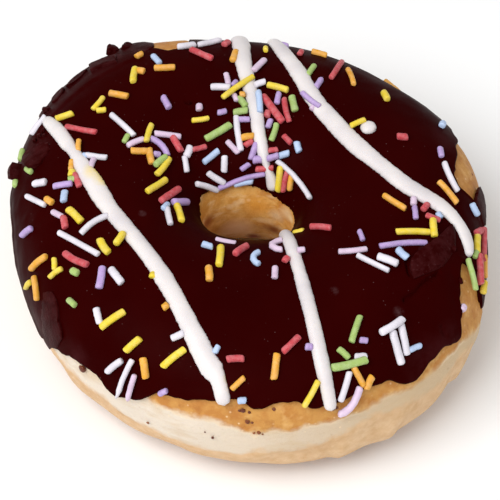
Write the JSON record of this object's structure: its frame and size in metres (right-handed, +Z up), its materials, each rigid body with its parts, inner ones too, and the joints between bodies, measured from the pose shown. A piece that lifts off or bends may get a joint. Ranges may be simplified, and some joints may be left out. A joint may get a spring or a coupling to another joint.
{
  "type": "sprinkle frosted doughnut",
  "caption": "Ring doughnut of fried yeast dough with a dark chocolate frosting cap, white drizzle and coloured sprinkles, to eat or to set on a plate.",
  "frame": {"origin": "centre of the doughnut's box, on the surface that it rests on", "axes": "+Z up, along the hole; +X right and +Y away from the viewer, so the front faces -Y"},
  "size_m": [0.0952, 0.0989, 0.0345],
  "materials": {
    "dough": "golden brown fried crust with a pale band round the waist and a tan base, matt with a faint oily sheen",
    "frosting": "very dark set chocolate frosting with a soft satin gloss",
    "drizzle": "set white icing drizzle, smooth with a low gloss",
    "sprinkle_yellow": "yellow sugar sprinkle, slightly rough",
    "sprinkle_orange": "orange sugar sprinkle, slightly rough",
    "sprinkle_white": "white sugar sprinkle, slightly rough",
    "sprinkle_pink": "pale pink sugar sprinkle, slightly rough",
    "sprinkle_lavender": "lavender sugar sprinkle, slightly rough",
    "sprinkle_blue": "pale blue sugar sprinkle, slightly rough",
    "sprinkle_green": "light green sugar sprinkle, slightly rough",
    "sprinkle_red": "red sugar sprinkle, slightly rough"
  },
  "bodies": {
    "root": {"dough": "dough", "frosting": "frosting"}
  },
  "joints": []
}
